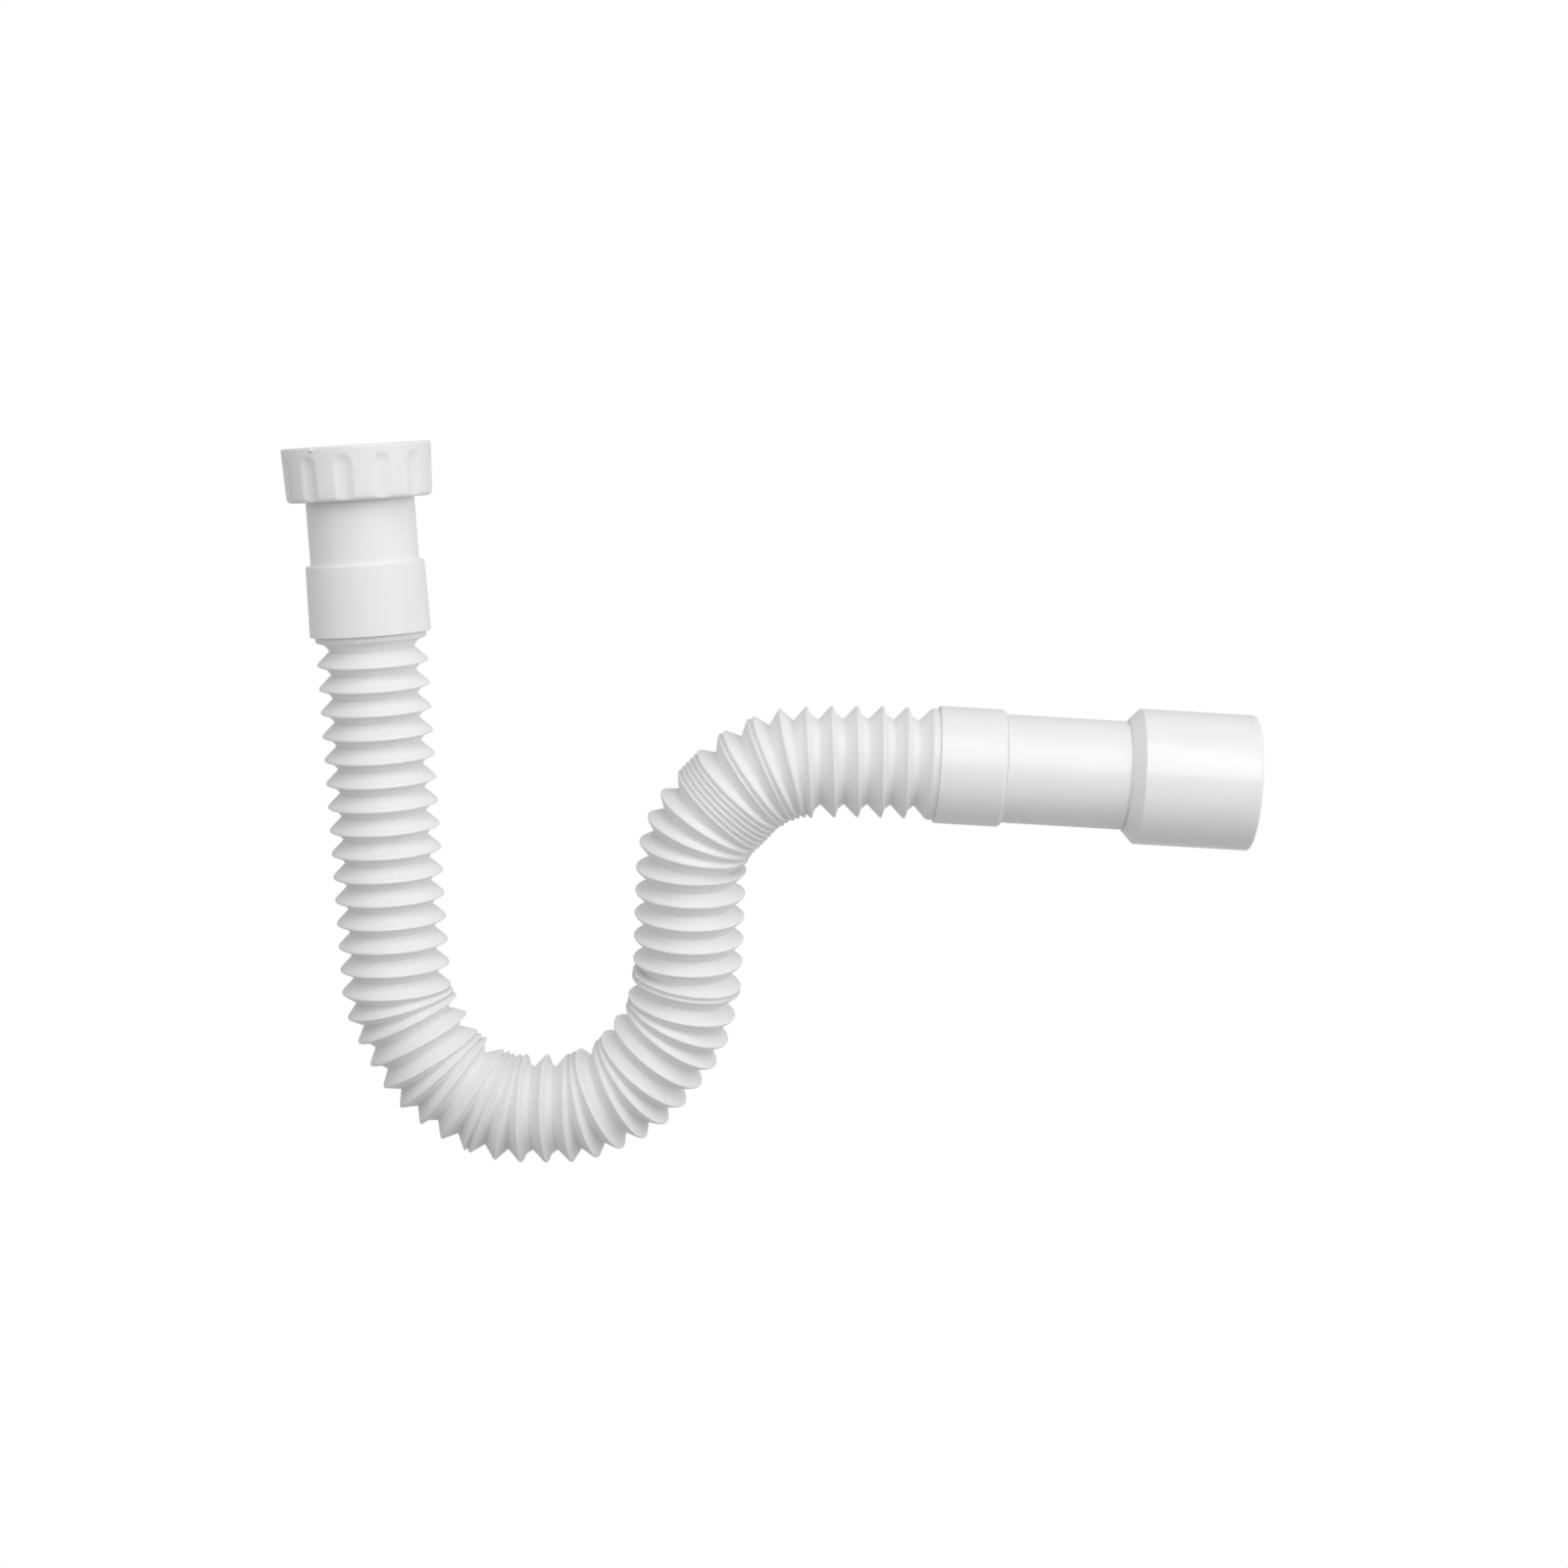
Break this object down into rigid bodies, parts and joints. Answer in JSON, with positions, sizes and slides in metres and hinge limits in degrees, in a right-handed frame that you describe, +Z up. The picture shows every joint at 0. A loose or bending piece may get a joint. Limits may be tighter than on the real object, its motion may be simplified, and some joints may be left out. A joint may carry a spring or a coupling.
{
  "type": "flexible waste trap",
  "caption": "White corrugated waste trap hose bent into a U and a level arm, with a grooved coupling nut on the inlet tail and a stepped tube as its outlet.",
  "frame": {"origin": "centre of the coupling nut's mouth", "axes": "+Z up out of the inlet, +X towards the outlet, +Y away from the picture's viewer"},
  "size_m": [0.3533, 0.0587, 0.2754],
  "materials": {
    "nut_plastic": "satin moulded white",
    "washer_rubber": "matt black rubber",
    "fitting_plastic": "satin moulded white",
    "hose_plastic": "satin blown white"
  },
  "bodies": {
    "trap_body": {"inlet_tail": "fitting_plastic", "sealing_washer": "washer_rubber", "corrugated_hose": "hose_plastic"},
    "nut": {"coupling_nut": "nut_plastic"},
    "outlet": {"outlet_adapter": "fitting_plastic"}
  },
  "joints": [
    {"name": "nut_spin", "type": "hinge", "parent": "trap_body", "child": "nut", "pos_m": [0, 0, 0], "axis": [0, 0, 1], "continuous": true},
    {"name": "outlet_swing", "type": "hinge", "parent": "trap_body", "child": "outlet", "pos_m": [0.18257, -0.00782, -0.12737], "axis": [0, -1, 0], "range_deg": [-40, 40], "deforming": ["corrugated_hose"]}
  ]
}
